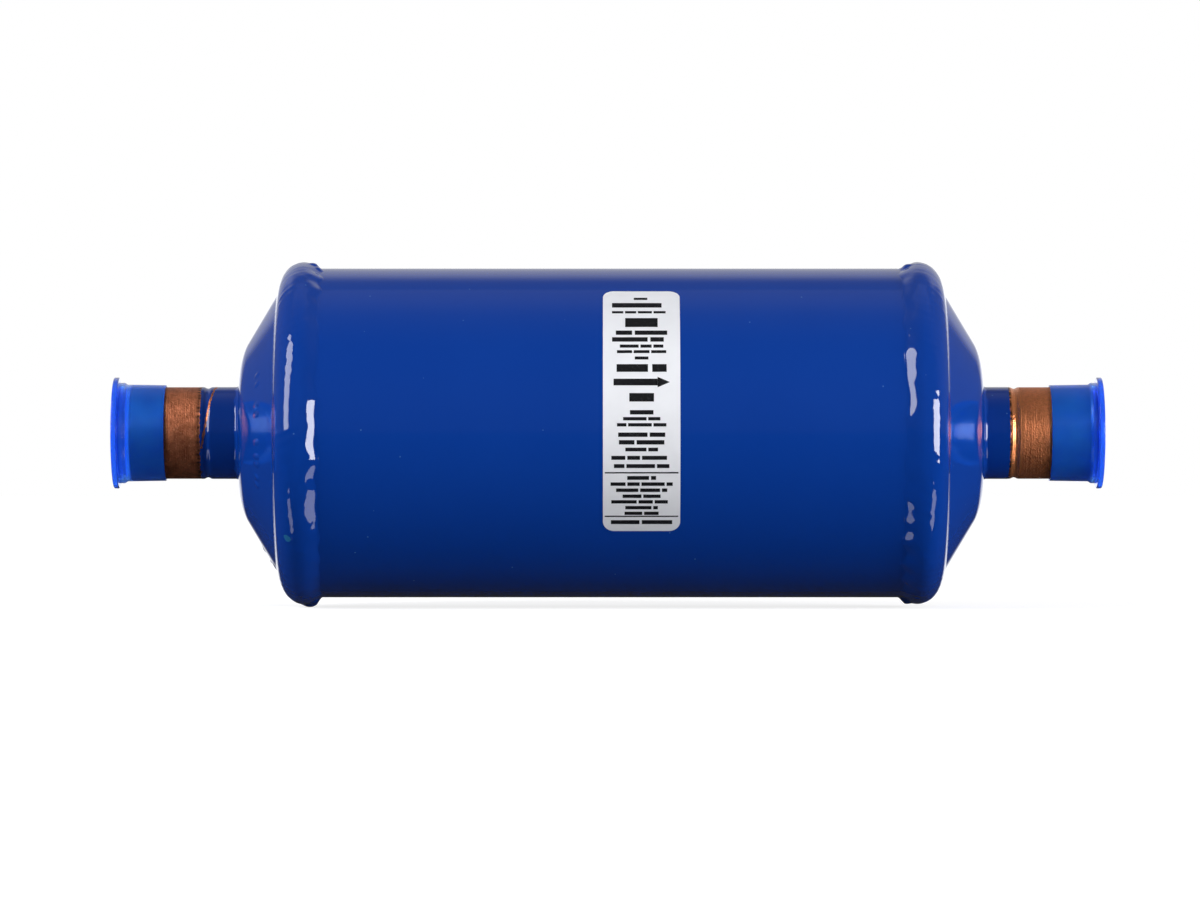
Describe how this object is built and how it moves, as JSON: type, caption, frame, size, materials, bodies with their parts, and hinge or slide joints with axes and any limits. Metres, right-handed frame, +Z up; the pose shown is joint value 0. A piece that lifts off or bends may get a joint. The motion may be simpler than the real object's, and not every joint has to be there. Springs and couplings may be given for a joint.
{
  "type": "filter drier",
  "caption": "Hermetic in-line filter drier: painted steel body with domed ends, copper solder sockets under plastic shipping caps, and a spring-loaded desiccant bed.",
  "frame": {"origin": "middle of the body tube, on its axis", "axes": "+X is the direction of flow, from the inlet to the outlet; +Z is up; the label faces -Y"},
  "size_m": [0.2667, 0.093, 0.0935],
  "materials": {
    "blue_paint": "gloss",
    "copper": "satin",
    "blue_plastic": "gloss",
    "silver_label": "satin",
    "bare_steel": "satin",
    "glass_fibre": "matte",
    "desiccant": "matte"
  },
  "bodies": {
    "root": {"shell_tube": "blue_paint", "inlet_end_cap": "blue_paint", "outlet_end_cap": "blue_paint", "inlet_weld_bead": "blue_paint", "outlet_weld_bead": "blue_paint", "inlet_fitting": "copper", "outlet_fitting": "copper", "inlet_braze_ring": "blue_paint", "outlet_braze_ring": "blue_paint", "flow_label": "silver_label", "bed_spring": "bare_steel", "outlet_support_plate": "bare_steel", "inlet_filter_pad": "glass_fibre", "desiccant_bed": "desiccant", "outlet_filter_pad": "glass_fibre", "outlet_screen": "bare_steel"},
    "inlet_cap": {"inlet_shipping_cap": "blue_plastic"},
    "outlet_cap": {"outlet_shipping_cap": "blue_plastic"},
    "pressure_stack": {"pressure_plate": "bare_steel", "inlet_screen": "bare_steel"}
  },
  "joints": [
    {"name": "inlet_cap_pull", "type": "slide", "parent": "root", "child": "inlet_cap", "axis": [-1, 0, 0], "range_m": [0, 0.06]},
    {"name": "outlet_cap_pull", "type": "slide", "parent": "root", "child": "outlet_cap", "axis": [1, 0, 0], "range_m": [0, 0.06]},
    {"name": "plate_push_back", "type": "slide", "parent": "root", "child": "pressure_stack", "axis": [-1, 0, 0], "range_m": [0, 0.006], "stiffness_N_per_m": 2500, "springref_m": -0.012, "deforming": ["bed_spring"]}
  ]
}
